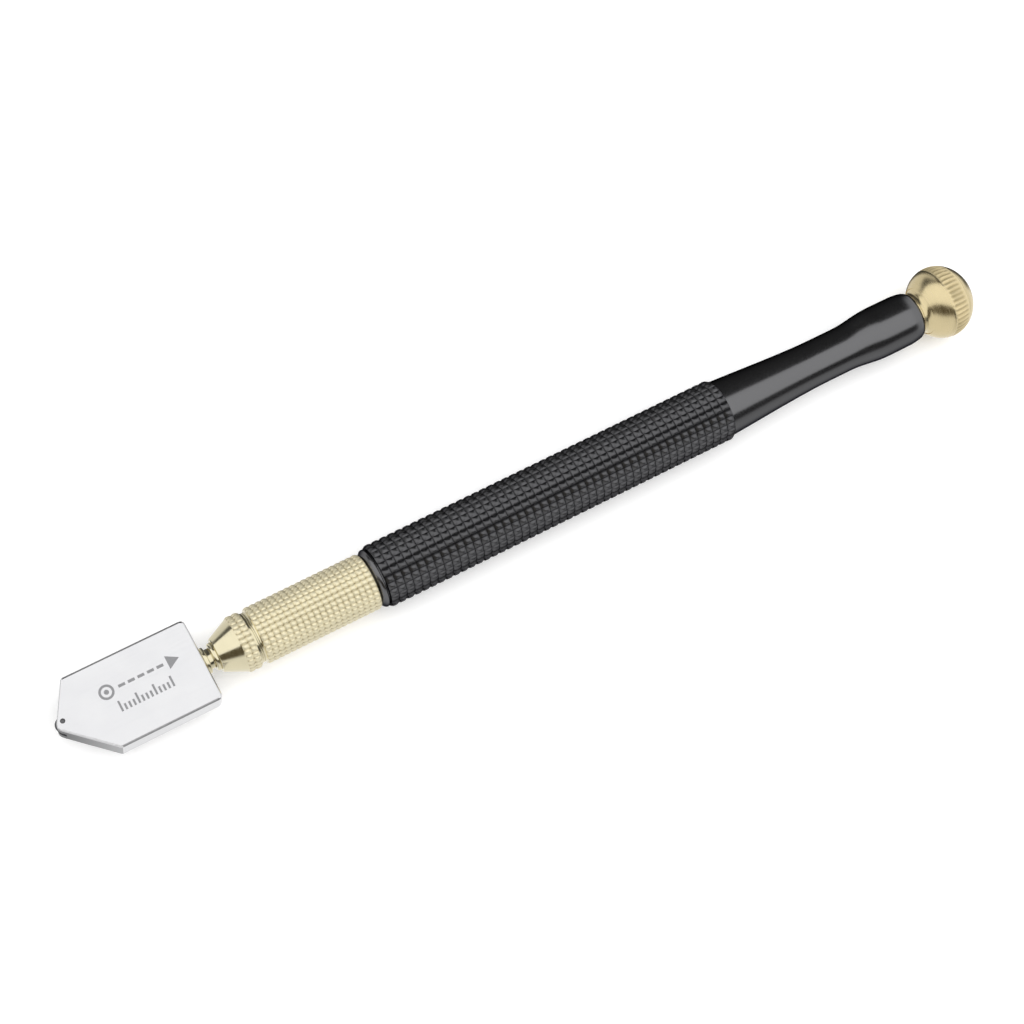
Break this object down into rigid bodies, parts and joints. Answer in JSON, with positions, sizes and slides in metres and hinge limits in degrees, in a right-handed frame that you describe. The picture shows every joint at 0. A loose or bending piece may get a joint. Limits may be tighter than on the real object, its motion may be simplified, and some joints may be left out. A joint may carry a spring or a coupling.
{
  "type": "glass cutter",
  "caption": "Oil-fed pencil glass cutter: wide steel wheel head, sprung brass nose with oil valve, knurled black handle and brass screw cap.",
  "frame": {"origin": "centre of the bounding box's bottom face, below the middle of the tool on the surface that it lies on", "axes": "+X along the handle from the cutting wheel towards the screw cap, +Z square to the wide faces of the head plate, up"},
  "size_m": [0.1796, 0.0148, 0.0133],
  "materials": {
    "polished_steel": "satin polish with broken edges",
    "carbide": "ground",
    "brass": "pale polished plating",
    "spring_steel": "drawn wire",
    "black_coating": "semi-gloss black coating",
    "rubber": "matt",
    "cotton": "twisted cotton"
  },
  "bodies": {
    "handle": {"handle_barrel": "black_coating", "front_sleeve": "brass", "valve_seat": "brass", "spring_cage": "brass", "sleeve_seal": "rubber", "head_spring": "spring_steel", "valve_spring": "spring_steel"},
    "nose_ring": {"nose_washer": "brass"},
    "nose": {"nose_nut": "brass", "gland_bush": "brass", "stem_seal": "rubber"},
    "thrust_ring": {"thrust_washer": "spring_steel"},
    "cutting_head": {"head_plate": "polished_steel", "wheel_axle": "polished_steel", "head_stem": "brass", "oil_wick": "cotton", "stem_clip": "spring_steel"},
    "wheel": {"cutting_wheel": "carbide"},
    "valve": {"valve_pin": "brass", "valve_seal": "rubber"},
    "cap_ring": {"cap_seal": "rubber"},
    "cap": {"end_cap": "brass"}
  },
  "joints": [
    {"name": "nut_travel", "type": "slide", "parent": "handle", "child": "nose_ring", "axis": [-1, 0, 0], "range_m": [0, 0.0045]},
    {"name": "nut_turn", "type": "hinge", "parent": "nose_ring", "child": "nose", "pos_m": [-0.0555, 0, 0.00665], "axis": [-1, 0, 0], "range_deg": [0, 2160]},
    {"name": "head_plunge", "type": "slide", "parent": "nose_ring", "child": "thrust_ring", "axis": [1, 0, 0], "range_m": [0, 0.0008], "stiffness_N_per_m": 1500, "springref_m": -0.001, "deforming": ["head_spring"]},
    {"name": "head_swivel", "type": "hinge", "parent": "thrust_ring", "child": "cutting_head", "pos_m": [-0.0625, 0, 0.00665], "axis": [1, 0, 0], "range_deg": [-8, 8]},
    {"name": "wheel_spin", "type": "hinge", "parent": "cutting_head", "child": "wheel", "pos_m": [-0.0884, 0.00085, 0.00665], "axis": [0, 0, 1], "continuous": true},
    {"name": "valve_lift", "type": "slide", "parent": "handle", "child": "valve", "axis": [1, 0, 0], "range_m": [0, 0.0008], "deforming": ["valve_spring"]},
    {"name": "cap_travel", "type": "slide", "parent": "handle", "child": "cap_ring", "axis": [1, 0, 0], "range_m": [0, 0.006]},
    {"name": "cap_turn", "type": "hinge", "parent": "cap_ring", "child": "cap", "pos_m": [0.078, 0, 0.00665], "axis": [1, 0, 0], "range_deg": [0, 2160]}
  ],
  "couplings": [
    {"joint": "nut_turn", "follows": "nut_travel", "rad_per_m": 8377.6},
    {"joint": "valve_lift", "follows": "head_plunge", "ratio": 1},
    {"joint": "cap_turn", "follows": "cap_travel", "rad_per_m": 6283.2}
  ]
}
